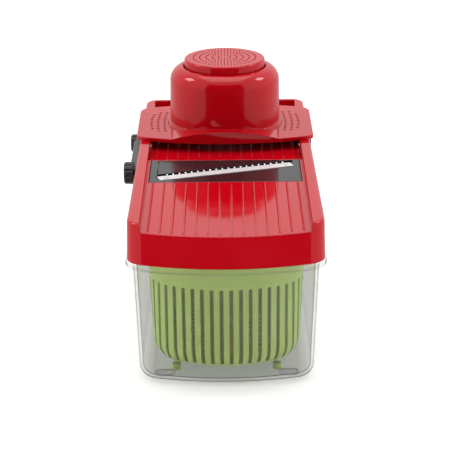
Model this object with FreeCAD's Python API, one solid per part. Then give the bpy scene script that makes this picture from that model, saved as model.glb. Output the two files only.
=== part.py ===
import FreeCAD, Part
import math
import os

# Mandoline slicer on its catch box, in millimetres.
# Frame: X to the right, Y from the front end to the back end, Z up.
# Origin: the middle of the footprint, on the surface that the feet stand on.

Vector = FreeCAD.Vector
UP = Vector(0, 0, 1)
RIGHT = Vector(1, 0, 0)
BACK = Vector(0, 1, 0)

# ---- driving dimensions -------------------------------------------------
LENGTH = 316.0            # slicer frame, front end to back end
FRONT = -LENGTH / 2       # Y of the front end of the slicer frame
WALL = 2.4                # moulded wall of the slicer frame
SIDE_TAPER = 1.8          # how far each side comes in from front to back
FIT_GAP = 0.3             # gap between pieces that move past each other
SEAT_GAP = 0.1            # gap under pieces that rest on one another

# catch box
FOOT_HEIGHT = 1.0
RIM_TOP = 89.3
BOX_WALL = 2.2
BOX_FLOOR = 2.4
RIM_HALF_WIDTH = 68.1
RIM_THICKNESS = 4.4
BOX_TOP_HALF_WIDTH = 63.6
BOX_DRAFT = 3.4           # how far each side leans in from rim to floor
BOX_BOTTOM_FILLET = 9.0

# colander basket
BASKET_TOP = 87.0
BASKET_BOTTOM = 6.6
BASKET_HALF_WIDTH = 54.25
BASKET_DRAFT = 4.2
BASKET_WALL = 2.0
BASKET_FRONT = 9.6        # distance from the front end of the slicer frame
BASKET_BACK = 307.0
BASKET_FILLET = 18.0
SLOT_WIDTH = 2.6
SLOT_PITCH = 6.7
SLOT_CLOSING = 9.0        # how far the slots come in over the basket's height
SLOT_LOW = 12.5
SLOT_HIGH = 70.0
FLOOR_HOLE = 3.2
FLOOR_HOLE_PITCH = 8.0

# slicer frame
APRON_HALF_WIDTH = 67.0
RAIL_HALF_WIDTH = 66.3
RAIL_LEAN = 0.7           # how far the outer wall leans in from rim to rail top
CHANNEL_HALF_WIDTH = 57.2
DECK_TOP = 112.0
RAIL_TOP = 118.0
BACK_RAIL = 7.0           # width of the rail across the back end
FRONT_BOW = 180.0
FRONT_CORNER = 15.0
BACK_BOW = 1500.0
BACK_CORNER = 10.0
RIB_COUNT = 14
RIB_PITCH = 8.0
RIB_RADIUS = 0.6
RIB_HEIGHT = 0.65

# blade insert
INSERT_FRONT = 115.2
INSERT_BACK = 167.0
INSERT_HALF_WIDTH = 55.4
INSERT_THICKNESS = 3.0
INSERT_WINDOW_HALF = 50.0
BLADE_LENGTH = 103.0
BLADE_WIDTH = 10.8
BLADE_THICKNESS = 1.0
BLADE_SEAT = 0.6
BLADE_CENTRE = 140.2
BLADE_ANGLE = 17.9
BLADE_BEVEL = 2.6
BLADE_SUPPORT = 5.0

# thickness ramp
RAMP_TOP = 111.6
RAMP_PLATE = 1.8
RAMP_HALF_WIDTH = 56.7
RAMP_FRONT = 167.8
RAMP_BACK = 308.4
RAMP_TRAVEL = 3.0
RAMP_PIN_X = 51.5
RAMP_PIN_Y = (185.0, 298.0)
NOSE_GAP = 4.6            # slot in front of the ramp's nose, along Y

# dials
DIAL_HEIGHT = 105.0
THICKNESS_DIAL_Y = 234.0
JULIENNE_DIAL_Y = 159.0
THICKNESS_KNOB = (7.0, -74.1)    # radius, and X of its outer face
JULIENNE_KNOB = (8.3, -75.7)
KNOB_ROUNDING = 2.0
FLUTE_COUNT = 12
ROD_RADIUS = 1.5
ROD_END = 67.1
BUSH_RADIUS = 3.4
THICKNESS_SWEEP = 240.0   # degrees of dial travel
JULIENNE_SWEEP = 180.0
JULIENNE_TRAVEL = 3.2

# julienne comb
POST_X = 56.0
POST_Y = 148.0
ARM_FRONT = 143.0
ARM_BACK = 164.0
TOOTH_COUNT = 20
TOOTH_PITCH = 4.5
TOOTH_TIP = 111.9
TOOTH_BASE = 106.2
TOOTH_LENGTH = 2.4
TOOTH_THICKNESS = 0.9
COMB_OFFSET = 2.7         # from the cutting edge to the middle of the comb
COMB_BAR_TOP = 108.2
COMB_BAR_BOTTOM = 104.8
COMB_BAR_WIDTH = 2.4
ARM_TOP = 101.35
ARM_BOTTOM = 98.7
SHELF_BOTTOM = 90.5       # shelf that carries the comb's posts and springs
SHELF_TOP = 93.0

# food guard
GUARD_CENTRE = 238.0      # axis of the dome
GUARD_FRONT = 187.0
GUARD_BACK = 288.0
GUARD_HALF_WIDTH = 67.9
GUARD_THICKNESS = 2.9
DOME_RADIUS = 42.3
DOME_TOP = 167.0
DOME_SHOULDER = 11.0
DOME_WALL = 2.2
CAP_OPENING = 32.1
CAP_LIP = 0.8             # rounding of the dome's edge around the cap
CAP_RINGS = 5
CAP_RING_PITCH = 4.85
CAP_RING_DOTS = 12        # dots on the first ring, and added on each ring
CAP_RADIUS = 31.3
CAP_TOP = 173.0
SLEEVE_BORE = 34.5
SLEEVE_WALL = 1.8
SLEEVE_SCREW_CIRCLE = 38.2
ARCH_HALF = 40.0          # low arch over the guard's front edge
ARCH_RISE = 6.6
ARCH_WALL = 2.4
GRIP_COLUMNS = ((47.5, 9), (52.6, 9), (57.8, 7))    # X, and bars on each wing
GRIP_PITCH = 6.2
GRIP_BOW = 1.4            # how far the ends of a column come in
PLUNGER_FOOT = RAIL_TOP + SEAT_GAP + 3.2 + SEAT_GAP


def y_at(distance):
    """Y of a place given by its distance from the frame's front end."""
    return FRONT + distance


def box(x0, x1, y0, y1, z0, z1):
    """A box between two corners; Y is given from the front end."""
    return Part.makeBox(x1 - x0, y1 - y0, z1 - z0, Vector(x0, y_at(y0), z0))


def upright(radius, z0, z1, x, y):
    """A vertical cylinder; Y is given from the front end."""
    return Part.makeCylinder(radius, z1 - z0, Vector(x, y_at(y), z0), UP)


def crosswise(radius, x0, x1, y, z):
    """A cylinder along X; Y is given from the front end."""
    return Part.makeCylinder(radius, x1 - x0, Vector(x0, y_at(y), z), RIGHT)


def fuse(shapes):
    """One solid from overlapping solids."""
    first, rest = shapes[0], shapes[1:]
    return first.fuse(rest).removeSplitter() if rest else first


def mirrored(shape):
    """The same piece on the other side of the middle plane."""
    return shape.mirror(Vector(0, 0, 0), RIGHT)


def both_sides(shape):
    return [shape, mirrored(shape)]


def end_arcs(half, tip, bow, corner, way):
    """Corner arc, bowed end and corner arc of one end; way is +1 at the back."""
    bow_y = tip - way * bow
    corner_x = half - corner
    reach = math.sqrt((bow - corner) ** 2 - corner_x ** 2)
    corner_y = bow_y + way * reach
    side = Vector(half, corner_y, 0)
    scale = bow / (bow - corner)
    meet = Vector(corner_x * scale, bow_y + way * reach * scale, 0)
    half_turn = math.atan2(corner_x, reach) / 2 + math.pi / 4
    middle = Vector(
        corner_x + corner * math.sin(half_turn),
        corner_y + way * corner * math.cos(half_turn),
        0,
    )
    return side, middle, meet, Vector(0, tip, 0)


def outline(half, front, back, front_bow, front_corner, back_bow, back_corner, z,
            taper=0.0):
    """A tub's plan: straight sides, bowed ends and round corners, as a wire."""
    flip = lambda p: Vector(-p.x, p.y, p.z)
    edges = []
    f_side, f_mid, f_meet, f_tip = end_arcs(
        half, y_at(front), front_bow, front_corner, -1)
    b_side, b_mid, b_meet, b_tip = end_arcs(
        half - taper, y_at(back), back_bow, back_corner, 1)
    edges.append(Part.Arc(flip(f_meet), f_tip, f_meet))
    edges.append(Part.Arc(f_meet, f_mid, f_side))
    edges.append(Part.LineSegment(f_side, b_side))
    edges.append(Part.Arc(b_side, b_mid, b_meet))
    edges.append(Part.Arc(b_meet, b_tip, flip(b_meet)))
    edges.append(Part.Arc(flip(b_meet), flip(b_mid), flip(b_side)))
    edges.append(Part.LineSegment(flip(b_side), flip(f_side)))
    edges.append(Part.Arc(flip(f_side), flip(f_mid), flip(f_meet)))
    wire = Part.Wire([e.toShape() for e in edges])
    wire.translate(Vector(0, 0, z))
    return wire


def prism(wire, height):
    return Part.Face(wire).extrude(Vector(0, 0, height))


def polygon(points, z0, z1):
    """An upright prism on a polygon; Y is given from the front end."""
    corners = [Vector(x, y_at(y), z0) for x, y in points]
    wire = Part.makePolygon(corners + corners[:1])
    return prism(wire, z1 - z0)


def edges_where(shape, test):
    return [e for e in shape.Edges if test(e.BoundBox, e)]


def level(bounds, z):
    """Whether an edge lies flat at this height."""
    return abs(bounds.ZMin - z) < 0.01 and abs(bounds.ZMax - z) < 0.01


def fillet_level(shape, radius, z, test=lambda bounds: True):
    """Round the edges that lie at one height."""
    chosen = edges_where(shape, lambda b, e: level(b, z) and test(b))
    return shape.makeFillet(radius, chosen)


# ---- catch box -----------------------------------------------------------
def box_outline(inset, z, draft):
    """Plan of the catch box wall, drawn in by inset and by the draft."""
    gap = inset + draft
    return outline(
        BOX_TOP_HALF_WIDTH - gap, 3.6 + gap, LENGTH - 2.6 - gap,
        190.0 - gap, 18.0 - gap, BACK_BOW - gap, 15.0 - gap, z, SIDE_TAPER)


def container():
    """Clear catch box with a flat rim and recesses for its feet."""
    outer = Part.makeLoft(
        [box_outline(0, FOOT_HEIGHT, BOX_DRAFT), box_outline(0, RIM_TOP, 0)],
        True, True)
    outer = fillet_level(outer, BOX_BOTTOM_FILLET, FOOT_HEIGHT)
    rim = prism(
        outline(RIM_HALF_WIDTH, -1.0, LENGTH + 2, 194.0, 18.0, BACK_BOW, 15.0,
                RIM_TOP - RIM_THICKNESS, SIDE_TAPER), RIM_THICKNESS)
    rim = fillet_level(rim, 0.7, RIM_TOP)
    rim = fillet_level(rim, 0.7, RIM_TOP - RIM_THICKNESS)
    floor = FOOT_HEIGHT + BOX_FLOOR
    inner = Part.makeLoft(
        [box_outline(BOX_WALL, floor, BOX_DRAFT),
         box_outline(BOX_WALL, RIM_TOP + 1, 0)],
        True, True)
    inner = fillet_level(inner, BOX_BOTTOM_FILLET - BOX_WALL, floor)
    shell = outer.fuse(rim).cut(inner)
    return shell.cut(Part.makeCompound(feet(FOOT_HEIGHT + 0.8)))


def feet(top):
    """Oval pads under the catch box, four near the corners and one in the middle."""
    radius = 4.0
    shift = 3.0
    places = [(x, y) for y in (30.0, LENGTH - 30.0) for x in (-43.0, 43.0)]
    pads = []
    for x, y in places + [(0.0, LENGTH / 2)]:
        middle = box(x - shift, x + shift, y - radius, y + radius, 0, top)
        ends = [upright(radius, 0, top, x + s, y) for s in (-shift, shift)]
        pads.append(fuse([middle] + ends))
    return pads


# ---- colander basket -----------------------------------------------------
def basket_outline(inset, z, draft):
    gap = inset + draft
    return outline(
        BASKET_HALF_WIDTH - gap, BASKET_FRONT + gap, BASKET_BACK - gap,
        82.0 - gap, 30.0 - gap, 82.0 - gap, 30.0 - gap, z)


def spaced_points(path, count):
    """Points at equal steps along a closed path, evenly about its front middle."""
    fine = path.discretize(Number=40 * count + 1)[:-1]
    start = min(range(len(fine)), key=lambda i: (round(fine[i].y, 2), abs(fine[i].x)))
    return [fine[(start + 20 + 40 * i) % len(fine)] for i in range(count)]


def basket_slots():
    """Narrow slots square to the wall, closing in towards the basket's foot."""
    path = basket_outline(0, 0, 0)
    count = int(round(path.Length / SLOT_PITCH / 2)) * 2
    tops = spaced_points(path, count)
    feet_of = spaced_points(basket_outline(SLOT_CLOSING, 0, 0), count)
    slots = []
    for i, (top, foot) in enumerate(zip(tops, feet_of)):
        before, after = tops[i - 1], tops[(i + 1) % count]
        along = (after - before).normalize()
        lean = math.degrees(math.atan2((foot - top).dot(along), SLOT_HIGH - SLOT_LOW))
        slot = Part.makeBox(
            SLOT_WIDTH, 17.0, SLOT_HIGH - SLOT_LOW,
            Vector(-SLOT_WIDTH / 2, -2.0, SLOT_LOW))
        slot.rotate(Vector(0, 0, SLOT_HIGH), BACK, -lean)
        slot.rotate(Vector(0, 0, 0), UP, math.degrees(math.atan2(along.y, along.x)))
        slot.translate(Vector(top.x, top.y, 0))
        slots.append(slot)
    return slots


def basket_floor_holes():
    """A grid of small square holes in the basket's floor."""
    holes = []
    edge = FLOOR_HOLE / 2
    for row in range(-14, 15):
        for column in range(-3, 4):
            x = column * FLOOR_HOLE_PITCH
            y = (BASKET_FRONT + BASKET_BACK) / 2 + row * FLOOR_HOLE_PITCH
            holes.append(box(x - edge, x + edge, y - edge, y + edge,
                             BASKET_BOTTOM - 1, BASKET_BOTTOM + 4))
    return holes


def basket():
    """Oval colander with a turned-out rim, standing on four small feet."""
    outer = Part.makeLoft(
        [basket_outline(0, BASKET_BOTTOM, BASKET_DRAFT),
         basket_outline(0, BASKET_TOP, 0)], True, True)
    outer = fillet_level(outer, BASKET_FILLET, BASKET_BOTTOM)
    floor = BASKET_BOTTOM + BASKET_WALL
    inner = Part.makeLoft(
        [basket_outline(BASKET_WALL, floor, BASKET_DRAFT),
         basket_outline(BASKET_WALL, BASKET_TOP + 1, 0)], True, True)
    inner = fillet_level(inner, BASKET_FILLET - BASKET_WALL, floor)
    rim = prism(
        outline(BASKET_HALF_WIDTH + 2.05, BASKET_FRONT - 2, BASKET_BACK + 2,
                84.0, 32.0, 84.0, 32.0, BASKET_TOP - 2), 2)
    shell = outer.fuse(rim).cut(inner)
    tools = basket_slots() + basket_floor_holes()
    shell = shell.cut(Part.makeCompound(tools))
    stands = []
    for y in (31.0, 284.6):
        for x in (-35.0, 35.0):
            stands.append(upright(3.0, FOOT_HEIGHT + BOX_FLOOR + SEAT_GAP,
                                  BASKET_BOTTOM + 1, x, y))
    return fuse([shell] + stands)


# ---- slicer frame --------------------------------------------------------
def frame_outline(inset, z):
    return outline(
        APRON_HALF_WIDTH - inset, inset, LENGTH - inset,
        FRONT_BOW - inset, FRONT_CORNER - inset,
        BACK_BOW - inset, BACK_CORNER - inset, z, SIDE_TAPER)


def frame_wall():
    """The frame's drafted outer form, for pieces that sit against its side."""
    return Part.makeLoft(
        [frame_outline(0, RIM_TOP), frame_outline(RAIL_LEAN, RAIL_TOP)], True, True)


def ribs(front, back, level_z):
    """Low round ribs along a ramp; the front ends follow the bowed edge."""
    made = []
    for i in range(RIB_COUNT):
        x = (i - (RIB_COUNT - 1) / 2) * RIB_PITCH
        bow = FRONT_BOW - math.sqrt(FRONT_BOW ** 2 - x ** 2)
        start = y_at(front(bow))
        z = level_z + RIB_HEIGHT - RIB_RADIUS
        rod = Part.makeCylinder(
            RIB_RADIUS, y_at(back) - start, Vector(x, start, z), BACK)
        made.append(rod.fuse(Part.makeSphere(RIB_RADIUS, Vector(x, start, z))))
    return made


def rail_channel():
    """The space between the rails, a little wider at the very top."""
    ease = 0.6
    above = 5.0
    half_section = [(CHANNEL_HALF_WIDTH, DECK_TOP),
                    (CHANNEL_HALF_WIDTH, RAIL_TOP - ease),
                    (CHANNEL_HALF_WIDTH + ease + above, RAIL_TOP + above)]
    section = half_section + [(-x, z) for x, z in reversed(half_section)]
    corners = [Vector(x, y_at(-above), z) for x, z in section + section[:1]]
    length = LENGTH - BACK_RAIL + above
    return Part.Face(Part.makePolygon(corners)).extrude(Vector(0, length, 0))


def frame_shell():
    """Apron, deck and rails, hollow from below and open behind the front ramp."""
    block = fillet_level(frame_wall(), 2.2, RAIL_TOP)
    body = block.cut(rail_channel())
    front_edge = edges_where(
        body, lambda b, e: level(b, DECK_TOP) and b.YMax < y_at(20)
        and b.XMax < CHANNEL_HALF_WIDTH + 0.1 and b.XMin > -CHANNEL_HALF_WIDTH - 0.1)
    body = body.makeFillet(1.1, front_edge)

    under_deck = DECK_TOP - WALL
    under_rail = RAIL_TOP - WALL
    back = LENGTH - BACK_RAIL
    hollow = prism(frame_outline(WALL, RIM_TOP - 1), under_deck - RIM_TOP + 1)
    tunnel = box(CHANNEL_HALF_WIDTH + WALL, RAIL_HALF_WIDTH - WALL - SIDE_TAPER, 26,
                 LENGTH - 10, under_deck - 1, under_rail)
    back_tunnel = box(-CHANNEL_HALF_WIDTH, CHANNEL_HALF_WIDTH, back + WALL,
                      LENGTH - WALL - 0.6, under_deck - 1, under_rail)
    window = box(-CHANNEL_HALF_WIDTH, CHANNEL_HALF_WIDTH, INSERT_FRONT - FIT_GAP,
                 back, RIM_TOP, DECK_TOP + 1)
    return body.cut([hollow, window, back_tunnel] + both_sides(tunnel))


def slicer_frame():
    """Bowed red frame: front ramp, rails on three sides and open underside."""
    seat = DECK_TOP - INSERT_THICKNESS
    inner = CHANNEL_HALF_WIDTH + 1
    front_ledge = box(-inner, inner, INSERT_FRONT - 3, INSERT_FRONT + 2,
                      seat - WALL, seat)
    front_lip = box(-inner, inner, INSERT_FRONT - 3, INSERT_FRONT - FIT_GAP,
                    seat - 1, DECK_TOP - 1)
    details = frame_side_details(seat)
    body = fuse([frame_shell(), front_ledge, front_lip] + details
                + [mirrored(piece) for piece in details]
                + ribs(lambda bow: bow + 5.0, INSERT_FRONT - 1.6, DECK_TOP))

    outside = APRON_HALF_WIDTH + 1
    inside = APRON_HALF_WIDTH - WALL - SIDE_TAPER
    bush_holes = [
        crosswise(BUSH_RADIUS, -outside, -inside, THICKNESS_DIAL_Y, DIAL_HEIGHT),
        crosswise(BUSH_RADIUS, inside, outside, THICKNESS_DIAL_Y, DIAL_HEIGHT),
        crosswise(BUSH_RADIUS, -outside, -inside, JULIENNE_DIAL_Y, DIAL_HEIGHT)]
    return body.cut(bush_holes + ramp_guide_pins() + comb_guide_posts()
                    + housing_screw_shanks())


def frame_side_details(seat):
    """Ledges, brackets and locating tabs on the right side of the frame."""
    wall = APRON_HALF_WIDTH - SIDE_TAPER - 0.1
    back = LENGTH - BACK_RAIL
    pieces = [
        # insert ledge
        box(INSERT_WINDOW_HALF + 1.2, CHANNEL_HALF_WIDTH + WALL,
            INSERT_FRONT, INSERT_BACK - 1, seat - WALL, seat),
        # strip of deck beside the insert
        box(INSERT_HALF_WIDTH + FIT_GAP, CHANNEL_HALF_WIDTH + 1,
            INSERT_FRONT - 1, INSERT_BACK + FIT_GAP, seat - WALL, DECK_TOP),
        # inner wall of the rail, carried down to the ledge and the ramp
        box(CHANNEL_HALF_WIDTH, CHANNEL_HALF_WIDTH + WALL,
            INSERT_FRONT - 3, back, seat - WALL, DECK_TOP),
        # shelf for the comb's guide post
        box(52.0, wall, POST_Y - 5, POST_Y + 5, SHELF_BOTTOM, SHELF_TOP),
    ]
    for y in RAMP_PIN_Y:
        pieces.append(box(47.5, wall, y - 5, y + 5, 95.0, 98.0))
    for y0, y1 in ((40.0, 110.0), (205.0, 275.0)):
        pieces.append(box(57.9, 59.2, y0, y1, RIM_TOP - 2.6, 92.0))
        pieces.append(box(57.9, wall, y0, y1, RIM_TOP + 0.2, 92.0))
    return pieces


def ramp_guide_pins():
    """Four steel pins that keep the ramp level as it rises and drops."""
    return [upright(ROD_RADIUS, 95.0, 107.5, x, y)
            for y in RAMP_PIN_Y for x in (-RAMP_PIN_X, RAMP_PIN_X)]


def comb_guide_posts():
    """Two steel posts that the julienne comb slides on."""
    return [upright(ROD_RADIUS, SHELF_BOTTOM, 104.0, x, POST_Y)
            for x in (-POST_X, POST_X)]


# ---- dial housing on the left side --------------------------------------
HOUSING_IN = -65.0        # inside the wall; the housing is trimmed to the wall
HOUSING_OUT = -71.0       # outer face of the raised bridge between the dials
PLATE_OUT = -68.2         # outer face of the plate under the dials
BRIDGE_FRONT = 168.6      # the bridge's ends, between the two knobs
BRIDGE_BACK = 225.8
HOUSING_WALL = 1.4
HOUSING_HALF_HEIGHT = 5.5
HOUSING_SCREW_Y = (180.0, 213.0)
SHAFT_INSET = 1.0         # from a knob's outer face to the end of its shaft


def housing_screw_shanks():
    return [crosswise(1.1, HOUSING_OUT + 0.9, HOUSING_IN + 0.5, y, DIAL_HEIGHT)
            for y in HOUSING_SCREW_Y]


def housing_screws():
    """Countersunk screws that hold the dial housing to the frame."""
    made = []
    for shank, y in zip(housing_screw_shanks(), HOUSING_SCREW_Y):
        place = Vector(HOUSING_OUT, y_at(y), DIAL_HEIGHT)
        head = Part.makeCone(2.2, 1.1, 1.1, place, RIGHT)
        made.append(shank.fuse(head).removeSplitter())
    return made


def dial_housing():
    """Black plate that the two dials turn on, raised between them for the detents."""
    half = HOUSING_HALF_HEIGHT
    dials = (JULIENNE_DIAL_Y, THICKNESS_DIAL_Y)
    plate = [box(PLATE_OUT, HOUSING_IN, *dials, DIAL_HEIGHT - half, DIAL_HEIGHT + half)]
    plate += [crosswise(half, PLATE_OUT, HOUSING_IN, y, DIAL_HEIGHT) for y in dials]
    bridge = box(HOUSING_OUT, HOUSING_IN, BRIDGE_FRONT, BRIDGE_BACK,
                 DIAL_HEIGHT - half, DIAL_HEIGHT + half)
    rim = edges_where(bridge, lambda b, e: abs(b.XMax - HOUSING_OUT) < 0.01)
    bridge = bridge.makeFillet(1.0, rim)
    inner = half - HOUSING_WALL
    hollow = box(HOUSING_OUT + HOUSING_WALL, HOUSING_IN + 1,
                 BRIDGE_FRONT + HOUSING_WALL, BRIDGE_BACK - HOUSING_WALL,
                 DIAL_HEIGHT - inner, DIAL_HEIGHT + inner)
    posts = [crosswise(3.0, HOUSING_OUT + 0.5, HOUSING_IN, y, DIAL_HEIGHT)
             for y in HOUSING_SCREW_Y]
    holes = [crosswise(2.6, HOUSING_OUT - 1, HOUSING_IN + 1, y, DIAL_HEIGHT)
             for y in dials]
    recesses = [crosswise(BUSH_RADIUS + 0.1, -66.1, HOUSING_IN + 1, y, DIAL_HEIGHT)
                for y in dials]
    shell = fuse(plate + [bridge]).cut(hollow)
    return fuse([shell] + posts).cut(
        holes + recesses + housing_screws() + [frame_wall()])


def detent_springs():
    """Bent leaf springs inside the bridge that click against the dials."""
    made = []
    floor = DIAL_HEIGHT - HOUSING_HALF_HEIGHT + HOUSING_WALL
    for end, way in ((BRIDGE_FRONT, 1), (BRIDGE_BACK, -1)):
        tip = end + way * (HOUSING_WALL + 0.3)
        foot = tip + way * 6.2
        low, high = sorted((tip, foot))
        leaf = box(-69.2, -67.0, low, high, floor + 2.7, floor + 3.0)
        low, high = sorted((foot, foot - way * 0.3))
        post = box(-69.2, -67.0, low, high, floor, floor + 3.0)
        made.append(fuse([leaf, post]))
    return made


def shaft_bushes():
    """Plain bushes pressed into the frame's walls for the dial shafts."""
    outer = APRON_HALF_WIDTH - SIDE_TAPER + 0.4
    inner = outer - WALL - 0.3
    made = []
    for x0, x1, y in ((-outer, -inner, THICKNESS_DIAL_Y),
                      (inner, outer, THICKNESS_DIAL_Y),
                      (-outer, -inner, JULIENNE_DIAL_Y)):
        sleeve = crosswise(BUSH_RADIUS, x0, x1, y, DIAL_HEIGHT)
        bore = crosswise(ROD_RADIUS + 0.06, x0 - 1, x1 + 1, y, DIAL_HEIGHT)
        made.append(sleeve.cut(bore))
    return made


# ---- dials ---------------------------------------------------------------
def dial_knob(size, y):
    """A round fluted knob, with a hub and a blind bore for its shaft."""
    radius, face = size
    foot = PLATE_OUT - FIT_GAP
    disc = crosswise(radius, face, foot, y, DIAL_HEIGHT)
    rim = edges_where(disc, lambda b, e: abs(b.XMax - face) < 0.01)
    disc = disc.makeFillet(KNOB_ROUNDING, rim)
    flutes = []
    circle = radius + 0.9
    for i in range(FLUTE_COUNT):
        turn = 2 * math.pi * i / FLUTE_COUNT
        flutes.append(crosswise(1.5, face - 1, foot - 0.6, y + circle * math.cos(turn),
                                DIAL_HEIGHT + circle * math.sin(turn)))
    hub = crosswise(2.3, foot - 0.5, -67.2, y, DIAL_HEIGHT)
    bore = crosswise(ROD_RADIUS, face + SHAFT_INSET, -60, y, DIAL_HEIGHT)
    return fuse([disc.cut(flutes), hub]).cut(bore)


def thickness_rod():
    """Steel rod across the frame that carries the two cams."""
    start = THICKNESS_KNOB[1] + SHAFT_INSET
    return crosswise(ROD_RADIUS, start, ROD_END, THICKNESS_DIAL_Y, DIAL_HEIGHT)


def rod_end_cap():
    """Black cap on the rod's far end, outside the right wall."""
    start = APRON_HALF_WIDTH - SIDE_TAPER + 0.5 + FIT_GAP
    cap = crosswise(3.4, start, ROD_END + 0.5, THICKNESS_DIAL_Y, DIAL_HEIGHT)
    return cap.cut(thickness_rod())


def cam_profile(radii):
    """A cam's closed outline from its radius at each angle, in its own plane."""
    points = [Vector(0, r * math.sin(math.radians(a)), r * math.cos(math.radians(a)))
              for a, r in radii]
    curve = Part.BSplineCurve()
    curve.interpolate(points, PeriodicFlag=True)
    return Part.Wire(curve.toShape())


def snail(start, change, sweep, dwell, angle):
    """Radius of a snail cam: a steady change, a dwell, then the return."""
    angle %= 360.0
    if angle <= sweep:
        return start + change * angle / sweep
    if angle <= sweep + dwell:
        return start + change
    back = (angle - sweep - dwell) / (360.0 - sweep - dwell)
    return start + change * (1 - back) ** 1.5


def thickness_cams():
    """Two snail cams that the ramp sits on."""
    made = []
    start = RAMP_TOP - RAMP_PLATE + 0.6 - DIAL_HEIGHT - 0.2
    for x in (-46.5, 43.5):
        radii = [(a, snail(start, -RAMP_TRAVEL, THICKNESS_SWEEP, 40.0, a))
                 for a in range(0, 360, 15)]
        face = Part.Face(cam_profile(radii))
        cam = face.extrude(Vector(3.0, 0, 0))
        cam.translate(Vector(x, y_at(THICKNESS_DIAL_Y), DIAL_HEIGHT))
        bore = crosswise(ROD_RADIUS, x - 1, x + 4, THICKNESS_DIAL_Y, DIAL_HEIGHT)
        made.append(cam.cut(bore))
    return made


def julienne_radius(angle):
    """Cam radius, counted from straight down towards the front."""
    low = DIAL_HEIGHT - ARM_TOP - 0.25
    angle %= 360.0
    if angle <= JULIENNE_SWEEP:
        return low + JULIENNE_TRAVEL * angle / JULIENNE_SWEEP
    if angle <= 250.0:
        return low + JULIENNE_TRAVEL
    if angle >= 320.0:
        return low
    return low + JULIENNE_TRAVEL * (1 - (angle - 250.0) / 70.0)


def julienne_cam():
    """Short spindle with the snail cam that presses the comb down."""
    radii = [((180 + a) % 360, julienne_radius(a)) for a in range(0, 360, 10)]
    face = Part.Face(cam_profile(radii))
    cam = face.extrude(Vector(2.0, 0, 0))
    cam.translate(Vector(-62.0, y_at(JULIENNE_DIAL_Y), DIAL_HEIGHT))
    start = JULIENNE_KNOB[1] + SHAFT_INSET
    spindle = crosswise(ROD_RADIUS, start, -60.0, JULIENNE_DIAL_Y, DIAL_HEIGHT)
    return fuse([cam, spindle])


# ---- thickness ramp ------------------------------------------------------
def edge_y(x):
    """Distance of the blade's cutting edge from the front end, at x."""
    slope = math.tan(math.radians(BLADE_ANGLE))
    half = BLADE_WIDTH / 2 / math.cos(math.radians(BLADE_ANGLE))
    return BLADE_CENTRE + half + slope * x


def thickness_ramp():
    """Red ramp behind the blade; it drops to set the slice thickness."""
    bottom = RAMP_TOP - RAMP_PLATE
    plate = box(-RAMP_HALF_WIDTH, RAMP_HALF_WIDTH, RAMP_FRONT, RAMP_BACK,
                bottom, RAMP_TOP)
    front = edges_where(plate, lambda b, e: level(b, RAMP_TOP)
                        and abs(b.YMax - y_at(RAMP_FRONT)) < 0.01)
    plate = plate.makeFillet(0.8, front)
    stiff = [box(x - 0.8, x + 0.8, y0, y1, bottom - 2.2, bottom + 0.5)
             for x in (-30.0, 0.0, 30.0)
             for y0, y1 in ((182.0, 224.0), (244.0, 303.0))]
    pins = [(x, y) for y in RAMP_PIN_Y for x in (-RAMP_PIN_X, RAMP_PIN_X)]
    bosses = [upright(3.6, bottom - 3.4, bottom + 0.5, x, y) for x, y in pins]
    body = fuse([plate] + stiff + bosses
                + ribs(lambda bow: RAMP_FRONT + 7.3, RAMP_BACK - 1.5, RAMP_TOP))
    bores = [upright(ROD_RADIUS + 0.1, bottom - 4, bottom + 0.9, x, y)
             for x, y in pins]
    pockets = [box(x, x + 4.0, THICKNESS_DIAL_Y - 7, THICKNESS_DIAL_Y + 7,
                   bottom - 1, bottom + 0.6) for x in (-47.0, 43.0)]
    return body.cut(bores + pockets + nose_screws())


def ramp_nose():
    """Black nose of the ramp, cut parallel to the blade."""
    bottom = RAMP_TOP - RAMP_PLATE
    half = INSERT_WINDOW_HALF - 0.4
    back = RAMP_FRONT - 0.3
    plate = polygon([(-half, edge_y(-half) + NOSE_GAP), (half, edge_y(half) + NOSE_GAP),
                     (half, back), (-half, back)], bottom, RAMP_TOP)
    tongue = box(-45.0, 45.0, back - 2.2, RAMP_FRONT + 7.0, bottom - 1.6, bottom)
    return fuse([plate, tongue]).cut(nose_screws())


def nose_screws():
    """Three small screws that hold the nose under the ramp's front edge."""
    bottom = RAMP_TOP - RAMP_PLATE
    made = []
    for x in (-35.0, 0.0, 35.0):
        y = RAMP_FRONT + 4.0
        shank = upright(0.9, bottom - 1.6, bottom + 1.1, x, y)
        head = upright(1.9, bottom - 2.5, bottom - 1.6, x, y)
        made.append(fuse([shank, head]))
    return made


# ---- blade insert --------------------------------------------------------
def blade_strip(length, width, z0, z1):
    """A flat strip lying along the blade."""
    strip = Part.makeBox(length, width, z1 - z0, Vector(-length / 2, -width / 2, z0))
    strip.rotate(Vector(0, 0, 0), UP, BLADE_ANGLE)
    strip.translate(Vector(0, y_at(BLADE_CENTRE), 0))
    return strip


def main_blade():
    """Straight steel blade with a ground edge that faces the back."""
    z0 = DECK_TOP - BLADE_SEAT
    z1 = z0 + BLADE_THICKNESS
    half = BLADE_WIDTH / 2
    section = Part.makePolygon([
        Vector(-BLADE_LENGTH / 2, -half, z0), Vector(-BLADE_LENGTH / 2, -half, z1),
        Vector(-BLADE_LENGTH / 2, half - BLADE_BEVEL, z1),
        Vector(-BLADE_LENGTH / 2, half, z0 + 0.08),
        Vector(-BLADE_LENGTH / 2, half, z0),
        Vector(-BLADE_LENGTH / 2, -half, z0)])
    blade = Part.Face(section).extrude(Vector(BLADE_LENGTH, 0, 0))
    blade.rotate(Vector(0, 0, 0), UP, BLADE_ANGLE)
    blade.translate(Vector(0, y_at(BLADE_CENTRE), 0))
    return blade.cut(blade_rivets())


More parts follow.
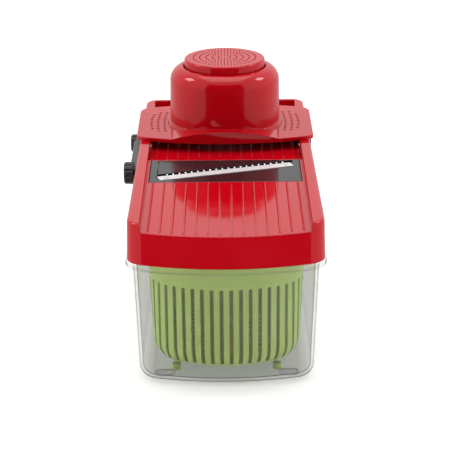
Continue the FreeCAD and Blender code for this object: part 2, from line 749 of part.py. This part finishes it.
def rivet_places():
    """Rivets near the blade's two ends, on its supported side."""
    turn = math.radians(BLADE_ANGLE)
    back = -BLADE_WIDTH / 2 + 2.6
    for along in (-46.0, 46.0):
        yield (along * math.cos(turn) - back * math.sin(turn),
               BLADE_CENTRE + along * math.sin(turn) + back * math.cos(turn))


def blade_rivets():
    made = []
    top = DECK_TOP - BLADE_SEAT + BLADE_THICKNESS
    for x, y in rivet_places():
        shank = upright(1.0, DECK_TOP - INSERT_THICKNESS, top, x, y)
        head = upright(1.9, top, top + 0.5, x, y)
        head = head.makeFillet(0.35, edges_where(head, lambda b, e: level(b, top + 0.5)))
        made.append(fuse([shank, head]))
    return made


def blade_insert():
    """Black drop-in insert that carries the blade on its slanted edge."""
    z0 = DECK_TOP - INSERT_THICKNESS
    window = INSERT_WINDOW_HALF
    half = INSERT_HALF_WIDTH
    lean = BLADE_WIDTH / math.cos(math.radians(BLADE_ANGLE)) - BLADE_SUPPORT
    plate = polygon(
        [(-half, INSERT_FRONT), (half, INSERT_FRONT), (half, INSERT_BACK),
         (window, INSERT_BACK), (window, edge_y(window) - lean),
         (-window, edge_y(-window) - lean), (-window, INSERT_BACK),
         (-half, INSERT_BACK)], z0, DECK_TOP)
    top = edges_where(plate, lambda b, e: level(b, DECK_TOP) and
                      (abs(b.XMin) > window + 5 and abs(b.XMax) > window + 5
                       or b.YMax < y_at(INSERT_FRONT) + 0.01))
    plate = plate.makeFillet(0.5, top)
    seat = blade_strip(BLADE_LENGTH + 0.2, BLADE_WIDTH + 0.2,
                       DECK_TOP - BLADE_SEAT, DECK_TOP + 2)
    return plate.cut([seat] + blade_rivets())


# ---- julienne comb -------------------------------------------------------
def julienne_teeth():
    """Small upright steel teeth just behind the cutting edge."""
    made = []
    half = TOOTH_LENGTH / 2
    for i in range(TOOTH_COUNT):
        x = (i - (TOOTH_COUNT - 1) / 2) * TOOTH_PITCH
        y = edge_y(x) + COMB_OFFSET
        profile = Part.makePolygon([
            Vector(x - TOOTH_THICKNESS / 2, y_at(y - half), TOOTH_BASE),
            Vector(x - TOOTH_THICKNESS / 2, y_at(y + half), TOOTH_BASE),
            Vector(x - TOOTH_THICKNESS / 2, y_at(y + half), COMB_BAR_TOP + 0.8),
            Vector(x - TOOTH_THICKNESS / 2, y_at(y - half * 0.3), TOOTH_TIP),
            Vector(x - TOOTH_THICKNESS / 2, y_at(y - half), TOOTH_TIP - 0.6),
            Vector(x - TOOTH_THICKNESS / 2, y_at(y - half), TOOTH_BASE)])
        made.append(Part.Face(profile).extrude(Vector(TOOTH_THICKNESS, 0, 0)))
    return made


def comb_carrier():
    """Slanted bar for the teeth, with an arm at each end."""
    half = INSERT_WINDOW_HALF - 1.0
    side = COMB_BAR_WIDTH / 2

    def strip(x0, x1, z0, z1):
        low, high = edge_y(x0) + COMB_OFFSET, edge_y(x1) + COMB_OFFSET
        return polygon([(x0, low - side), (x1, high - side),
                        (x1, high + side), (x0, low + side)], z0, z1)

    bar = strip(-half, half, COMB_BAR_BOTTOM, COMB_BAR_TOP)
    legs = [strip(-half, -half + 4, ARM_BOTTOM, COMB_BAR_BOTTOM + 0.5),
            strip(half - 4, half, ARM_BOTTOM, COMB_BAR_BOTTOM + 0.5)]
    left_front = edge_y(-half) + COMB_OFFSET - side
    right_back = edge_y(half) + COMB_OFFSET + side
    arms = [box(-60.0, -half + 4, left_front, POST_Y + 6, ARM_BOTTOM, ARM_TOP),
            box(-61.9, -half + 2, ARM_FRONT, ARM_BACK, ARM_BOTTOM, ARM_TOP),
            box(half - 4, 60.5, ARM_FRONT, right_back, ARM_BOTTOM, ARM_TOP)]
    holes = [upright(ROD_RADIUS + 0.1, 90, 110, x, POST_Y) for x in (-POST_X, POST_X)]
    return fuse([bar] + legs + arms).cut(holes + julienne_teeth())


def comb_springs():
    """Two bowed leaf springs that press the comb up against its cam."""
    leaf = 0.3
    half = 4.4
    low, high = SHELF_TOP + SEAT_GAP, ARM_BOTTOM - SEAT_GAP

    def bow(drop, z0, z1):
        reach = half - drop
        return Part.Arc(Vector(0, -reach, z0), Vector(0, 0, z1), Vector(0, reach, z0))

    top = bow(0, low, high)
    under = bow(leaf, low, high - leaf)
    feet_lines = [Part.LineSegment(Vector(0, side * half, low),
                                   Vector(0, side * (half - leaf), low))
                  for side in (1, -1)]
    wire = Part.Wire(Part.sortEdges([e.toShape() for e in [top, under] + feet_lines])[0])
    strip = Part.Face(wire).extrude(Vector(2.2, 0, 0))
    strip.translate(Vector(POST_X + ROD_RADIUS + 0.5, y_at(POST_Y), 0))
    return both_sides(strip)


# ---- food guard ----------------------------------------------------------
def guard_plate_outline(z, inset=0.0):
    """Winged plate: bowed front and back edges and round corners."""
    return outline(GUARD_HALF_WIDTH - inset, GUARD_FRONT + inset, GUARD_BACK - inset,
                   190.0 - inset, 7.0 - inset, 225.0 - inset, 12.0 - inset, z)


def guard_arch(inset, z):
    """Low arch along the guard's front, from its front edge back to the dome."""
    crest = RAIL_TOP + SEAT_GAP + GUARD_THICKNESS + ARCH_RISE
    radius = (ARCH_HALF ** 2 + ARCH_RISE ** 2) / (2 * ARCH_RISE)
    barrel = Part.makeCylinder(
        radius - inset, GUARD_CENTRE - GUARD_FRONT,
        Vector(0, y_at(GUARD_FRONT), crest - radius), BACK)
    return barrel.common(prism(guard_plate_outline(z, inset), 2 * ARCH_RISE))


def grip_bars(z):
    """Short bars in three slightly bowed columns on each wing, for the fingertips."""
    length, width, height = 1.9, 1.0, 0.9
    made = []
    for column, count in GRIP_COLUMNS:
        for i in range(count):
            step = i - (count - 1) / 2
            x = column - GRIP_BOW * (2 * step / (count - 1)) ** 2
            y = GUARD_CENTRE + 1 + step * GRIP_PITCH
            made += both_sides(box(x - length / 2, x + length / 2, y - width / 2,
                                   y + width / 2, z - height / 2, z + height / 2))
    return made


def revolve(points, y):
    """A turned shape from radius and height points about an upright axis."""
    wire = Part.makePolygon([Vector(r, 0, z) for r, z in points + points[:1]])
    shape = Part.Face(wire).revolve(Vector(0, 0, 0), UP, 360)
    shape.translate(Vector(0, y_at(y), 0))
    return shape


def guard_body():
    """Winged plate, front arch and dome of the food guard, moulded as one."""
    low = RAIL_TOP + SEAT_GAP
    top = low + GUARD_THICKNESS
    foot = DOME_RADIUS + 0.6
    plate = prism(guard_plate_outline(low), GUARD_THICKNESS)
    plate = fillet_level(plate, 1.0, top)
    dome = revolve([(0, low), (foot, low), (DOME_RADIUS, DOME_TOP), (0, DOME_TOP)],
                   GUARD_CENTRE)
    dome = fillet_level(dome, DOME_SHOULDER, DOME_TOP)
    flare = revolve([(0, low), (foot + 2.0, low), (foot + 2.0, top + 0.5),
                     (foot + 1.3, top + 1.8), (foot - 0.1, top + 3.2), (0, top + 3.2)],
                    GUARD_CENTRE)
    runners = both_sides(box(54.6, 56.7, GUARD_CENTRE - 34, GUARD_CENTRE + 32,
                             low - 1.5, low + 0.5))
    body = fuse([plate, guard_arch(0, low), dome, flare] + runners + grip_bars(top))

    inner_foot = foot - DOME_WALL
    inner_top = DOME_TOP - DOME_WALL
    inner = revolve([(0, low - 1), (inner_foot, low - 1),
                     (DOME_RADIUS - DOME_WALL, inner_top), (0, inner_top)],
                    GUARD_CENTRE)
    inner = fillet_level(inner, DOME_SHOULDER - DOME_WALL, inner_top)
    mouth = upright(CAP_OPENING, DOME_TOP - 5, DOME_TOP + 1, 0, GUARD_CENTRE)
    arch_pocket = guard_arch(ARCH_WALL, low - 1).cut(dome)
    body = body.cut([inner, mouth, arch_pocket] + sleeve_screws())
    lip = edges_where(body, lambda b, e: b.ZMin > DOME_TOP - 0.5
                      and abs(b.XMax - CAP_OPENING) < 0.1)
    return body.makeFillet(CAP_LIP, lip)


def sleeve_screw_places():
    for angle in (45.0, 135.0, 225.0, 315.0):
        turn = math.radians(angle)
        yield (SLEEVE_SCREW_CIRCLE * math.cos(turn),
               GUARD_CENTRE + SLEEVE_SCREW_CIRCLE * math.sin(turn))


def sleeve_screws():
    """Screws that hold the plunger sleeve inside the dome."""
    low = RAIL_TOP + SEAT_GAP
    made = []
    for x, y in sleeve_screw_places():
        shank = upright(0.9, low + 0.6, low + 7.0, x, y)
        head = upright(1.9, low - 0.3, low + 0.6, x, y)
        made.append(fuse([shank, head]))
    return made


def guard_sleeve():
    """Inner sleeve that guides the plunger, with a flange at its foot."""
    low = RAIL_TOP + SEAT_GAP
    outer = SLEEVE_BORE + SLEEVE_WALL
    tube = revolve([(SLEEVE_BORE, low + 3.2), (SLEEVE_BORE, DOME_TOP - 12),
                    (outer, DOME_TOP - 12), (outer, low + 3.2)], GUARD_CENTRE)
    flange = revolve([(29.0, low + 0.6), (DOME_RADIUS - DOME_WALL - 0.1, low + 0.6),
                      (DOME_RADIUS - DOME_WALL - 0.1, low + 3.2),
                      (29.0, low + 3.2)], GUARD_CENTRE)
    bosses = [upright(2.2, low + 3.0, low + 8.5, x, y)
              for x, y in sleeve_screw_places()]
    return fuse([tube, flange] + bosses).cut(sleeve_screws())


def pusher_cap():
    """Hollow plunger with a domed cap and a guide ring at its foot."""
    bore = CAP_RADIUS - 2.0
    outside = revolve([(0, PLUNGER_FOOT), (SLEEVE_BORE - FIT_GAP, PLUNGER_FOOT),
                       (SLEEVE_BORE - FIT_GAP, PLUNGER_FOOT + 3),
                       (CAP_RADIUS, PLUNGER_FOOT + 3), (CAP_RADIUS, CAP_TOP),
                       (0, CAP_TOP)], GUARD_CENTRE)
    outside = fillet_level(outside, 1.6, CAP_TOP)
    inside = upright(bore, PLUNGER_FOOT - 1, CAP_TOP - 2.4, 0, GUARD_CENTRE)
    dots = []
    for ring in range(1, CAP_RINGS + 1):
        radius = CAP_RING_PITCH * ring
        count = CAP_RING_DOTS * ring
        for i in range(count):
            turn = 2 * math.pi * i / count
            dots.append(upright(0.42, CAP_TOP - 0.3, CAP_TOP + 0.45,
                                radius * math.cos(turn),
                                GUARD_CENTRE + radius * math.sin(turn)))
    bosses = [upright(2.6, PLUNGER_FOOT + 4.4, CAP_TOP - 2, x, y)
              for x, y in spike_screw_places()]
    body = outside.cut(inside)
    return fuse([body] + bosses + dots).cut(spike_screws())


def spike_screw_places():
    for angle in (90.0, 210.0, 330.0):
        turn = math.radians(angle)
        yield 22.0 * math.cos(turn), GUARD_CENTRE + 22.0 * math.sin(turn)


def spike_screws():
    """Screws that hold the spike plate to the plunger."""
    made = []
    for x, y in spike_screw_places():
        shank = upright(0.9, PLUNGER_FOOT + 2.4, PLUNGER_FOOT + 10, x, y)
        head = upright(1.9, PLUNGER_FOOT + 1.5, PLUNGER_FOOT + 2.4, x, y)
        made.append(fuse([shank, head]))
    return made


def spike_plate():
    """Black plate that closes the plunger's foot and holds the spikes."""
    plate = upright(CAP_RADIUS - 2.05, PLUNGER_FOOT + 2.4, PLUNGER_FOOT + 4.4,
                    0, GUARD_CENTRE)
    return plate.cut(food_spikes() + spike_screws())


def food_spikes():
    """Pointed steel spikes that hold the food."""
    made = []
    places = [(0.0, 0.0)]
    for radius, count in ((9.5, 6), (18.5, 6)):
        for i in range(count):
            turn = 2 * math.pi * (i + (0.5 if radius > 10 else 0)) / count
            places.append((radius * math.cos(turn), radius * math.sin(turn)))
    top = PLUNGER_FOOT + 4.4
    tip = RAIL_TOP + 0.4
    for x, y in places:
        stem = upright(0.9, tip + 3, top, x, GUARD_CENTRE + y)
        point = Part.makeCone(0.9, 0.1, 3, Vector(x, y_at(GUARD_CENTRE + y), tip + 3),
                              Vector(0, 0, -1))
        made.append(fuse([stem, point]))
    return made


def group(shapes):
    return Part.makeCompound(shapes)


def parts():
    """Every node by name."""
    return {
        "container": container(),
        "container_feet": group(feet(FOOT_HEIGHT + 0.8)),
        "basket": basket(),
        "slicer_frame": slicer_frame(),
        "ramp_guide_pins": group(ramp_guide_pins()),
        "comb_guide_posts": group(comb_guide_posts()),
        "comb_springs": group(comb_springs()),
        "dial_housing": dial_housing(),
        "housing_screws": group(housing_screws()),
        "detent_springs": group(detent_springs()),
        "shaft_bushes": group(shaft_bushes()),
        "julienne_knob": dial_knob(JULIENNE_KNOB, JULIENNE_DIAL_Y),
        "julienne_cam": julienne_cam(),
        "thickness_knob": dial_knob(THICKNESS_KNOB, THICKNESS_DIAL_Y),
        "thickness_rod": thickness_rod(),
        "thickness_cams": group(thickness_cams()),
        "rod_end_cap": rod_end_cap(),
        "thickness_ramp": thickness_ramp(),
        "ramp_nose": ramp_nose(),
        "nose_screws": group(nose_screws()),
        "blade_insert": blade_insert(),
        "main_blade": main_blade(),
        "blade_rivets": group(blade_rivets()),
        "comb_carrier": comb_carrier(),
        "julienne_teeth": group(julienne_teeth()),
        "guard_body": guard_body(),
        "guard_sleeve": guard_sleeve(),
        "sleeve_screws": group(sleeve_screws()),
        "pusher_cap": pusher_cap(),
        "spike_plate": spike_plate(),
        "spike_screws": group(spike_screws()),
        "food_spikes": group(food_spikes()),
    }


os.makedirs("parts", exist_ok=True)
for node, shape in parts().items():
    solids = shape.Solids
    volume = sum(s.Volume for s in solids)
    print(f"{node}: {len(solids)} solid(s), {volume:.0f} mm3, valid {shape.isValid()}")
    shape.exportStep(f"parts/{node}.step")
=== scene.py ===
import math

import bmesh
import bpy
from mathutils import Matrix, Vector


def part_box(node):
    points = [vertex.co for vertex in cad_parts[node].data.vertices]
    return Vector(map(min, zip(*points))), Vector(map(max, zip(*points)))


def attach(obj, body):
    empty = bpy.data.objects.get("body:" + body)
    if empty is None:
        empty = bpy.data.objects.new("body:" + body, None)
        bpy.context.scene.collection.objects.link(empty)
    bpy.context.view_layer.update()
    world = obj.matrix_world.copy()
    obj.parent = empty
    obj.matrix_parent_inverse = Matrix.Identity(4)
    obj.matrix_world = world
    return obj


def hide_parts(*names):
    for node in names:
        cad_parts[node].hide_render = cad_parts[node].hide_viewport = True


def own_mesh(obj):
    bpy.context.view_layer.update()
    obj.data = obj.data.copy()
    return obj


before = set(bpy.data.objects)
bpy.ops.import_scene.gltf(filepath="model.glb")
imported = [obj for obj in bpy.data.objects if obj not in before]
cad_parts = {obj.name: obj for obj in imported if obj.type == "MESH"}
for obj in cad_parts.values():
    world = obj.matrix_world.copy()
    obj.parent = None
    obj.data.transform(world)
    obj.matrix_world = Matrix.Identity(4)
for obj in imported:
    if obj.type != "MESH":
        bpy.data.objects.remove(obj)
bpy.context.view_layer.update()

# Looks of the mandoline slicer, in metres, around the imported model.

MM = 0.001

# ---- camera and light ----------------------------------------------------
LENS = 136.4                 # mm, on a 36 mm sensor
CAMERA_AHEAD = 1051.4 * MM   # in front of the slicer frame's front end
CAMERA_ABOVE = 385.1 * MM    # above the top of the rails
CAMERA_DOWN = math.radians(20)
CAMERA_ROLL = -0.008          # radians
CAMERA_SHIFT = (-0.0018, 0.0011)
CAMERA_REACH = 50            # m

DARK_SIDE = (38, 44)         # degrees either side of the front, where it turns white
OVERHEAD = (0.62, 0.85)      # height on the sky's unit sphere, where it turns white
BELOW = (-0.2, 0.1)          # and where it dims towards the ground
DARK_LEVEL = 0.03
GROUND_LEVEL = 0.72

FLOOR_SIZE = 6.0
FLOOR_TONE = 0.9
FLOOR_GLOW = 0.38

# name, place in metres, size in metres, watts, and whether gloss reflects it
LAMPS = (
    ("overhead", (0, 0.3, 1.8), 1.4, 9.0, True),
    ("front", (0, -2.0, 0.9), 1.2, 1.5, False),
    ("left", (-1.4, 0.4, 1.4), 0.5, 5.0, True),
    ("right", (1.4, 0.4, 1.4), 0.5, 5.0, True),
)
LAMP_TARGET = (0, 0, 0.1)


def add_camera():
    low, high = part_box("slicer_frame")
    data = bpy.data.cameras.new("camera")
    data.lens = LENS
    data.shift_x, data.shift_y = CAMERA_SHIFT
    data.clip_end = CAMERA_REACH
    camera = bpy.data.objects.new("camera", data)
    camera.location = (0, low[1] - CAMERA_AHEAD, high[2] + CAMERA_ABOVE)
    tilt = Matrix.Rotation(math.pi / 2 - CAMERA_DOWN, 3, "X")
    roll = Matrix.Rotation(CAMERA_ROLL, 3, "Z")
    camera.rotation_euler = (tilt @ roll).to_euler()
    bpy.context.scene.collection.objects.link(camera)
    bpy.context.scene.camera = camera


class Nodes:
    """A node tree with short calls to add and link nodes."""

    def __init__(self, tree):
        self.tree = tree
        tree.nodes.clear()

    def add(self, kind, **settings):
        node = self.tree.nodes.new(kind)
        for name, value in settings.items():
            setattr(node, name, value)
        return node

    def link(self, source, target):
        self.tree.links.new(source, target)

    def math(self, operation, first, second=None):
        node = self.add("ShaderNodeMath", operation=operation)
        for socket, value in zip(node.inputs, (first, second)):
            if isinstance(value, (int, float)):
                socket.default_value = value
            elif value is not None:
                self.link(value, socket)
        return node.outputs[0]

    def ramp(self, value, low, high, out_low=0.0, out_high=1.0):
        """A smooth step of a value from low to high."""
        node = self.add("ShaderNodeMapRange", interpolation_type="SMOOTHSTEP")
        self.link(value, node.inputs["Value"])
        node.inputs["From Min"].default_value = low
        node.inputs["From Max"].default_value = high
        node.inputs["To Min"].default_value = out_low
        node.inputs["To Max"].default_value = out_high
        return node.outputs["Result"]


def add_world():
    """White studio with one dark side, where the photographer stands."""
    world = bpy.data.worlds.new("studio")
    world.use_nodes = True
    bpy.context.scene.world = world
    n = Nodes(world.node_tree)
    place = n.add("ShaderNodeTexCoord")
    axes = n.add("ShaderNodeSeparateXYZ")
    n.link(place.outputs["Generated"], axes.inputs[0])
    sideways = n.math("ABSOLUTE", axes.outputs["X"])
    ahead = n.math("MULTIPLY", axes.outputs["Y"], -1.0)
    lean = n.math("ARCTAN2", sideways, ahead)
    beside = n.ramp(lean, *[math.radians(angle) for angle in DARK_SIDE])
    overhead = n.ramp(axes.outputs["Z"], *OVERHEAD)
    bright = n.math("MAXIMUM", beside, overhead)
    below = n.ramp(axes.outputs["Z"], *BELOW, GROUND_LEVEL, 1.0)
    strength = n.math("MULTIPLY", n.ramp(bright, 0.0, 1.0, DARK_LEVEL, 1.0), below)
    light = n.add("ShaderNodeBackground")
    n.link(strength, light.inputs["Strength"])
    backdrop = n.add("ShaderNodeBackground")
    backdrop.inputs["Strength"].default_value = 1.0
    rays = n.add("ShaderNodeLightPath")
    mix = n.add("ShaderNodeMixShader")
    n.link(rays.outputs["Is Camera Ray"], mix.inputs[0])
    n.link(light.outputs[0], mix.inputs[1])
    n.link(backdrop.outputs[0], mix.inputs[2])
    out = n.add("ShaderNodeOutputWorld")
    n.link(mix.outputs[0], out.inputs[0])


def add_floor():
    mesh = bpy.data.meshes.new("floor")
    half = FLOOR_SIZE / 2
    mesh.from_pydata([(-half, -half, 0), (half, -half, 0), (half, half, 0),
                      (-half, half, 0)], [], [(0, 1, 2, 3)])
    floor = bpy.data.objects.new("floor", mesh)
    bpy.context.scene.collection.objects.link(floor)
    floor.visible_glossy = False
    material = bpy.data.materials.new("floor")
    material.use_nodes = True
    n = Nodes(material.node_tree)
    paint = n.add("ShaderNodeBsdfPrincipled")
    paint.inputs["Base Color"].default_value = (FLOOR_TONE, FLOOR_TONE, FLOOR_TONE, 1)
    paint.inputs["Roughness"].default_value = 0.9
    paint.inputs["Specular IOR Level"].default_value = 0.0
    paint.inputs["Emission Color"].default_value = (1, 1, 1, 1)
    paint.inputs["Emission Strength"].default_value = FLOOR_GLOW
    out = n.add("ShaderNodeOutputMaterial")
    n.link(paint.outputs[0], out.inputs[0])
    mesh.materials.append(material)


def add_lamp(name, place, size, energy, seen):
    """A square soft light aimed at the middle of the object."""
    data = bpy.data.lights.new(name, "AREA")
    data.shape = "SQUARE"
    data.size = size
    data.energy = energy
    lamp = bpy.data.objects.new(name, data)
    lamp.location = place
    aim = Vector(LAMP_TARGET) - Vector(place)
    lamp.rotation_euler = aim.to_track_quat("-Z", "Y").to_euler()
    lamp.visible_glossy = seen
    bpy.context.scene.collection.objects.link(lamp)


def add_lamps():
    """Soft light from above and in front, and a softbox on each side."""
    for lamp in LAMPS:
        add_lamp(*lamp)


# ---- materials -----------------------------------------------------------
EDGE_SOFTNESS = 0.5 * MM
# TUB_ROUNDING also places the painted edge shade on the clear tub
TUB_ROUNDING = (128 * MM, 140 * MM)    # distance along Y where the tub's ends round off
TUB_FLOOR = (2 * MM, 9 * MM)           # height where its floor turns into wall
CLEAR_INDEX = 1.49

STEEL = (0.86, 0.87, 0.89)

# noise, in cycles per metre
FLOW = 14
HAZE = 60
PEEL = 420
SCRATCHES = 900
GRAIN = 2600
SMEARS = 30
CLOUDS = 9


def start_material(name):
    material = bpy.data.materials.new(name)
    material.use_nodes = True
    n = Nodes(material.node_tree)
    out = n.add("ShaderNodeOutputMaterial")
    shader = n.add("ShaderNodeBsdfPrincipled")
    n.link(shader.outputs[0], out.inputs[0])
    place = n.add("ShaderNodeTexCoord")
    return material, n, shader, place.outputs["Object"]


def noise(n, place, scale, detail=2.0, stretch=None):
    """Noise of a scale in cycles per metre, stretched along the axes."""
    if stretch:
        mapping = n.add("ShaderNodeMapping")
        mapping.inputs["Scale"].default_value = stretch
        n.link(place, mapping.inputs["Vector"])
        place = mapping.outputs["Vector"]
    node = n.add("ShaderNodeTexNoise")
    node.inputs["Scale"].default_value = scale
    node.inputs["Detail"].default_value = detail
    n.link(place, node.inputs["Vector"])
    return node.outputs["Fac"]


def vary(n, shader, factor, dark, light):
    """Base colour that drifts between two tones."""
    mix = n.add("ShaderNodeMix", data_type="RGBA")
    n.link(factor, mix.inputs["Factor"])
    mix.inputs["A"].default_value = (*dark, 1)
    mix.inputs["B"].default_value = (*light, 1)
    n.link(mix.outputs["Result"], shader.inputs["Base Color"])


def relief(n, shader, heights, distance):
    """Bump from a height, over slightly softened edges."""
    bevel = n.add("ShaderNodeBevel", samples=4)
    bevel.inputs["Radius"].default_value = EDGE_SOFTNESS
    bump = n.add("ShaderNodeBump")
    bump.inputs["Strength"].default_value = 1.0
    bump.inputs["Distance"].default_value = distance
    n.link(heights, bump.inputs["Height"])
    n.link(bevel.outputs[0], bump.inputs["Normal"])
    n.link(bump.outputs[0], shader.inputs["Normal"])


def moulded_plastic(name, colour, roughness=0.08, drift=0.06, orange_peel=0.004,
                    scratches=0.0):
    """Glossy injection moulding: faint flow marks, orange peel and fine wear."""
    material, n, shader, place = start_material(name)
    flow = noise(n, place, FLOW, 3, (1.0, 0.35, 1.0))
    vary(n, shader, flow, [c * (1 - drift) for c in colour],
         [min(c * (1 + drift), 1) for c in colour])
    haze = noise(n, place, HAZE, 4)
    wear = n.ramp(haze, 0.35, 0.75, roughness * 0.8, roughness * 1.35)
    if scratches:
        fine = noise(n, place, SCRATCHES, 2, (1.0, 0.03, 1.0))
        marks = n.ramp(fine, 0.62, 0.72, 0.0, scratches)
        wear = n.math("ADD", wear, marks)
    n.link(wear, shader.inputs["Roughness"])
    relief(n, shader, noise(n, place, PEEL, 2), orange_peel * MM)
    return material


def brushed_steel(name, roughness, grain, colour=STEEL, metal=1.0):
    """Steel with a grain that runs along X."""
    material, n, shader, place = start_material(name)
    shader.inputs["Metallic"].default_value = metal
    lines = noise(n, place, GRAIN, 3, (0.02, 1.0, 1.0))
    vary(n, shader, lines, [c * 0.93 for c in colour], colour)
    n.link(n.ramp(lines, 0.3, 0.7, roughness * 0.8, roughness * 1.2),
           shader.inputs["Roughness"])
    relief(n, shader, lines, grain * MM)
    return material


def clear_plastic(name, through=0.98, slant=0.965, edge=0.3, floor=0.82):
    """Clear moulding: greyer on the slant and in its floor, with painted shade along
    its rounded ends in place of the dark edges that refraction gives.
    """
    material = bpy.data.materials.new(name)
    material.use_nodes = True
    n = Nodes(material.node_tree)
    out = n.add("ShaderNodeOutputMaterial")
    place = n.add("ShaderNodeTexCoord").outputs["Object"]
    facing = n.add("ShaderNodeLayerWeight")
    facing.inputs["Blend"].default_value = 0.5
    slanted = n.ramp(facing.outputs["Facing"], 0.5, 0.95, through, slant)
    axes = n.add("ShaderNodeSeparateXYZ")
    n.link(place, axes.inputs[0])
    # painted shade: where the rounded ends turn away, the tub's clearness and its gloss
    # are darkened down to the edge level
    ends = n.ramp(n.math("ABSOLUTE", axes.outputs["Y"]), *TUB_ROUNDING)
    rounded = n.math("MULTIPLY", n.ramp(facing.outputs["Facing"], 0.55, 0.85), ends)
    painted_edge_shade = n.ramp(rounded, 0.0, 1.0, 1.0, edge)
    depth = n.ramp(axes.outputs["Z"], *TUB_FLOOR, floor, 1.0)
    shade = n.math("MULTIPLY", n.math("MULTIPLY", slanted, painted_edge_shade), depth)
    tint = n.add("ShaderNodeCombineColor")
    for channel in ("Red", "Green", "Blue"):
        n.link(shade, tint.inputs[channel])
    clear = n.add("ShaderNodeBsdfTransparent")
    n.link(tint.outputs[0], clear.inputs["Color"])
    gloss = n.add("ShaderNodeBsdfGlossy")
    gloss.inputs["Color"].default_value = (0.95, 0.95, 0.95, 1)
    smears = noise(n, place, SMEARS, 3)
    n.link(n.ramp(smears, 0.3, 0.8, 0.02, 0.07), gloss.inputs["Roughness"])
    haze = n.add("ShaderNodeBsdfDiffuse")
    haze.inputs["Color"].default_value = (0.75, 0.76, 0.79, 1)
    body = n.add("ShaderNodeMixShader")
    n.link(n.ramp(noise(n, place, CLOUDS, 3), 0.3, 0.8, 0.03, 0.06), body.inputs[0])
    n.link(clear.outputs[0], body.inputs[1])
    n.link(haze.outputs[0], body.inputs[2])
    mirror = n.add("ShaderNodeFresnel")
    mirror.inputs["IOR"].default_value = CLEAR_INDEX
    side = n.add("ShaderNodeNewGeometry")
    front = n.math("SUBTRACT", 1.0, side.outputs["Backfacing"])
    mix = n.add("ShaderNodeMixShader")
    mirrored = n.math("MULTIPLY", mirror.outputs[0], front)
    n.link(n.math("MULTIPLY", mirrored, painted_edge_shade), mix.inputs[0])
    n.link(body.outputs[0], mix.inputs[1])
    n.link(gloss.outputs[0], mix.inputs[2])
    n.link(mix.outputs[0], out.inputs[0])
    return material


# ---- springs -------------------------------------------------------------
SPRING_X = (58.0 * MM, 60.2 * MM)
SPRING_Y = -10.0 * MM
SPRING_HALF = 4.4 * MM
SPRING_FOOT = 93.1 * MM
SPRING_RISE = 5.45 * MM
LEAF = 0.28 * MM
SPRING_STEPS = 24


def comb_leaf_springs():
    """Two bowed leaves, built only in their bowed shape; on the slicer they flatten as
    the comb comes down.
    """
    shape = bmesh.new()
    for side in (-1, 1):
        rings = []
        for i in range(SPRING_STEPS + 1):
            turn = 2 * i / SPRING_STEPS - 1
            rise = SPRING_RISE * (1 - turn * turn)
            low = max(rise - LEAF, 0)
            along = SPRING_Y + SPRING_HALF * turn
            rings.append([
                shape.verts.new((side * x, along, SPRING_FOOT + z))
                for x, z in ((SPRING_X[0], low), (SPRING_X[1], low),
                             (SPRING_X[1], low + LEAF), (SPRING_X[0], low + LEAF))])
        for first, second in zip(rings, rings[1:]):
            for k in range(4):
                shape.faces.new((first[k], first[(k + 1) % 4],
                                 second[(k + 1) % 4], second[k]))
        shape.faces.new(rings[0][::-1])
        shape.faces.new(rings[-1])
    bmesh.ops.recalc_face_normals(shape, faces=shape.faces)
    mesh = bpy.data.meshes.new("comb_leaf_springs")
    shape.to_mesh(mesh)
    shape.free()
    springs = bpy.data.objects.new("comb_leaf_springs", mesh)
    bpy.context.scene.collection.objects.link(springs)
    mesh.materials.append(brushed_steel("steel_comb_springs", 0.2, 0.001))
    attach(springs, "slicer")
    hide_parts("comb_springs")
    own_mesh(springs)


# ---- colours -------------------------------------------------------------
RED = (0.60, 0.0012, 0.009)
BLACK = (0.018, 0.018, 0.02)
# painted light: the dial knobs get a lighter copy of the black plastic, so their tops
# look lit
LIT_DIAL_BLACK = (0.04, 0.039, 0.04)
GREEN = (0.47, 0.62, 0.15)
WHITE = (0.80, 0.80, 0.77)
BLADE = (0.95, 0.95, 0.96)


def paint(nodes, material):
    """Give CAD nodes a material in all of their slots."""
    for name in nodes:
        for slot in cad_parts[name].material_slots:
            slot.material = material


def paint_all():
    paint(["container"], clear_plastic("clear_tub"))
    paint(["container_feet"], clear_plastic("clear_pads", 0.9, 0.8))
    paint(["basket"], moulded_plastic("green_basket", GREEN, 0.22, 0.05, 0.006))
    paint(["slicer_frame"], moulded_plastic("red_frame", RED, scratches=0.05))
    paint(["thickness_ramp"], moulded_plastic("red_ramp", RED, scratches=0.05))
    paint(["guard_body"], moulded_plastic("red_guard", RED))
    paint(["guard_sleeve"], moulded_plastic("red_sleeve", RED, 0.15))
    paint(["pusher_cap"], moulded_plastic("red_cap", RED))
    # the knobs take the lighter black, which paints light onto their tops
    for name in ("thickness_knob", "julienne_knob"):
        paint([name], moulded_plastic("black_" + name, LIT_DIAL_BLACK, 0.26, 0.1, 0.01))
    for name in ("dial_housing", "rod_end_cap", "shaft_bushes", "comb_carrier",
                 "ramp_nose", "spike_plate"):
        paint([name], moulded_plastic("black_" + name, BLACK, 0.16, 0.1, 0.006))
    paint(["blade_insert"],
          moulded_plastic("black_insert", BLACK, 0.05, 0.1, scratches=0.03))
    for name in ("thickness_cams", "julienne_cam"):
        paint([name], moulded_plastic("white_" + name, WHITE, 0.35, 0.03, 0.01))
    paint(["main_blade"], brushed_steel("blade_steel", 0.35, 0.002, BLADE, metal=0.3))
    for name in ("julienne_teeth", "blade_rivets", "ramp_guide_pins",
                 "comb_guide_posts", "thickness_rod", "housing_screws",
                 "detent_springs", "nose_screws", "sleeve_screws", "spike_screws",
                 "food_spikes"):
        paint([name], brushed_steel("steel_" + name, 0.2, 0.001))


bpy.context.scene.view_settings.view_transform = "Standard"
add_camera()
add_world()
add_floor()
add_lamps()
paint_all()
comb_leaf_springs()
